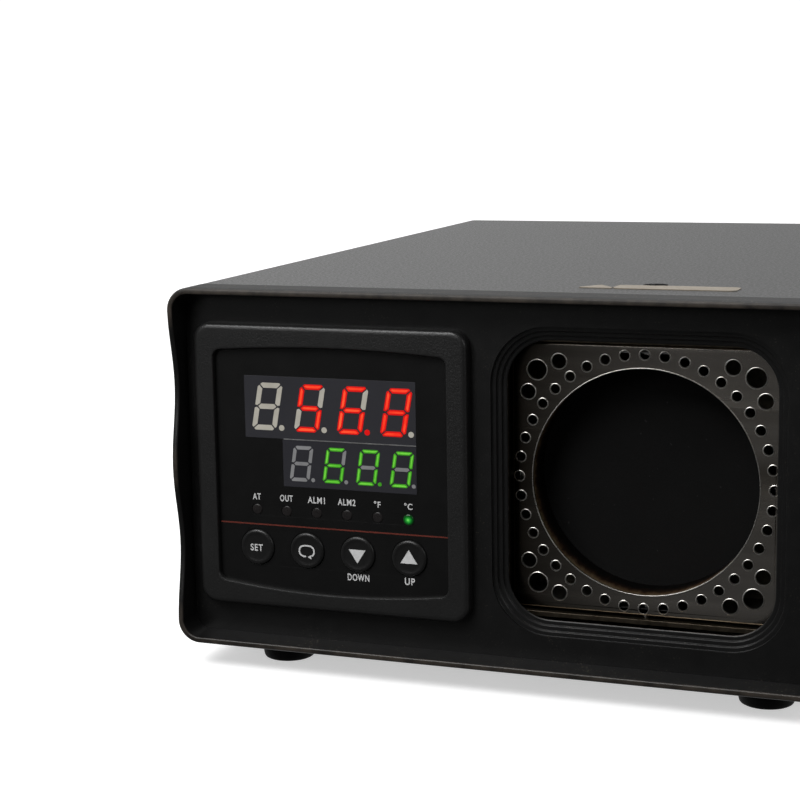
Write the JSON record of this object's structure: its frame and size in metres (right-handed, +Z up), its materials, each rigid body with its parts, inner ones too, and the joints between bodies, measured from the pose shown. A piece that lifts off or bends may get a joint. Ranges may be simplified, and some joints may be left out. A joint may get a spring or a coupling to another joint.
{
  "type": "infrared calibrator",
  "caption": "Bench infrared calibrator with a PID temperature controller beside a round heated target behind a perforated guard plate, in a hooded plastic case on rubber feet.",
  "frame": {"origin": "centre of the footprint, on the surface that the feet stand on", "axes": "+Z up, -Y the front with the controller and target, +X to the right seen from the front"},
  "size_m": [0.173, 0.236, 0.101],
  "materials": {
    "case_plastic": "fine spark-eroded texture, satin",
    "cover_plastic": "fine spark-eroded texture, satin",
    "panel_paint": "powder coat, fine orange peel",
    "rubber": "matt",
    "zinc_screw": "zinc plated",
    "black_screw": "black oxide",
    "aluminium": "mill finish",
    "yellow_label": "printed vinyl, blank",
    "silver_label": "printed polyester, blank",
    "bezel_plastic": "satin moulded plastic",
    "face_film": "fine matt overlay film",
    "display_window": "smoked window",
    "display_block": "potted display block",
    "lamp_plastic": "diffused lamp",
    "key_plastic": "satin moulded plastic",
    "switch_metal": "stamped",
    "circuit_board": "solder mask",
    "terminal_plastic": "glass-filled nylon",
    "brass_screw": "turned",
    "guard_steel": "satin stainless with heat tint",
    "bright_screw": "bright stainless",
    "barrel_steel": "polished stainless with heat tint",
    "target_black": "high-emissivity matt coating",
    "cast_aluminium": "as cast",
    "rod_steel": "drawn tube",
    "insulation": "pressed ceramic fibre",
    "shield_steel": "folded stainless sheet",
    "cream_ceramic": "glazed",
    "bracket_steel": "folded sheet",
    "relay_plastic": "moulded",
    "fan_plastic": "glass-filled",
    "guard_wire": "plated wire",
    "inlet_plastic": "moulded",
    "rocker_red": "translucent red rocker",
    "wire_plastic": "silicone sleeved wire"
  },
  "bodies": {
    "case": {"front_frame": "case_plastic", "top_cover": "cover_plastic", "base_tray": "cover_plastic", "rear_frame": "cover_plastic", "rear_panel": "panel_paint", "rubber_feet": "rubber", "foot_screws": "zinc_screw", "case_screws": "zinc_screw", "frame_screws": "zinc_screw", "rear_panel_screws": "zinc_screw", "cover_screw": "black_screw", "shield_pillar": "aluminium", "top_label": "yellow_label", "rating_label": "silver_label", "controller_bezel": "bezel_plastic", "controller_face": "face_film", "upper_lens": "display_window", "lower_lens": "display_window", "upper_display": "display_block", "lower_display": "display_block", "indicator_leds": "lamp_plastic", "key_switches": "switch_metal", "display_board": "circuit_board", "main_board": "circuit_board", "controller_housing": "bezel_plastic", "controller_terminals": "terminal_plastic", "terminal_screws": "brass_screw", "panel_clamps": "terminal_plastic", "clamp_screws": "zinc_screw", "guard_plate": "guard_steel", "plate_screws": "bright_screw", "target_barrel": "barrel_steel", "target_disc": "target_black", "heater_block": "cast_aluminium", "heater_rods": "rod_steel", "temperature_sensor": "rod_steel", "insulation_ring": "insulation", "insulation_block": "insulation", "shield_box": "shield_steel", "shield_back": "shield_steel", "overheat_cutout": "cream_ceramic", "oven_bracket": "bracket_steel", "shield_spacers": "bright_screw", "shield_screws": "zinc_screw", "bracket_screws": "zinc_screw", "relay_heatsink": "aluminium", "solid_state_relay": "relay_plastic", "fan_frame": "fan_plastic", "fan_guard": "guard_wire", "fan_screws": "zinc_screw", "power_inlet": "inlet_plastic", "switch_body": "inlet_plastic", "wiring": "wire_plastic"},
    "key_set_button": {"key_set": "key_plastic"},
    "key_shift_button": {"key_shift": "key_plastic"},
    "key_down_button": {"key_down": "key_plastic"},
    "key_up_button": {"key_up": "key_plastic"},
    "rotor": {"fan_rotor": "fan_plastic"},
    "drawer": {"fuse_drawer": "inlet_plastic"},
    "rocker": {"switch_rocker": "rocker_red"}
  },
  "joints": [
    {"name": "key_set_press", "type": "slide", "parent": "case", "child": "key_set_button", "axis": [0, 1, 0], "range_m": [0, 0.0005], "stiffness_N_per_m": 600, "springref_m": -0.0005},
    {"name": "key_shift_press", "type": "slide", "parent": "case", "child": "key_shift_button", "axis": [0, 1, 0], "range_m": [0, 0.0005], "stiffness_N_per_m": 600, "springref_m": -0.0005},
    {"name": "key_down_press", "type": "slide", "parent": "case", "child": "key_down_button", "axis": [0, 1, 0], "range_m": [0, 0.0005], "stiffness_N_per_m": 600, "springref_m": -0.0005},
    {"name": "key_up_press", "type": "slide", "parent": "case", "child": "key_up_button", "axis": [0, 1, 0], "range_m": [0, 0.0005], "stiffness_N_per_m": 600, "springref_m": -0.0005},
    {"name": "fan_spin", "type": "hinge", "parent": "case", "child": "rotor", "pos_m": [0.036, 0.098, 0.05375], "axis": [0, 1, 0], "continuous": true},
    {"name": "fuse_drawer_slide", "type": "slide", "parent": "case", "child": "drawer", "axis": [0, 1, 0], "range_m": [0, 0.014]},
    {"name": "power_switch_rock", "type": "hinge", "parent": "case", "child": "rocker", "pos_m": [-0.045, 0.109, 0.07775], "axis": [-1, 0, 0], "range_deg": [0, 14]}
  ]
}
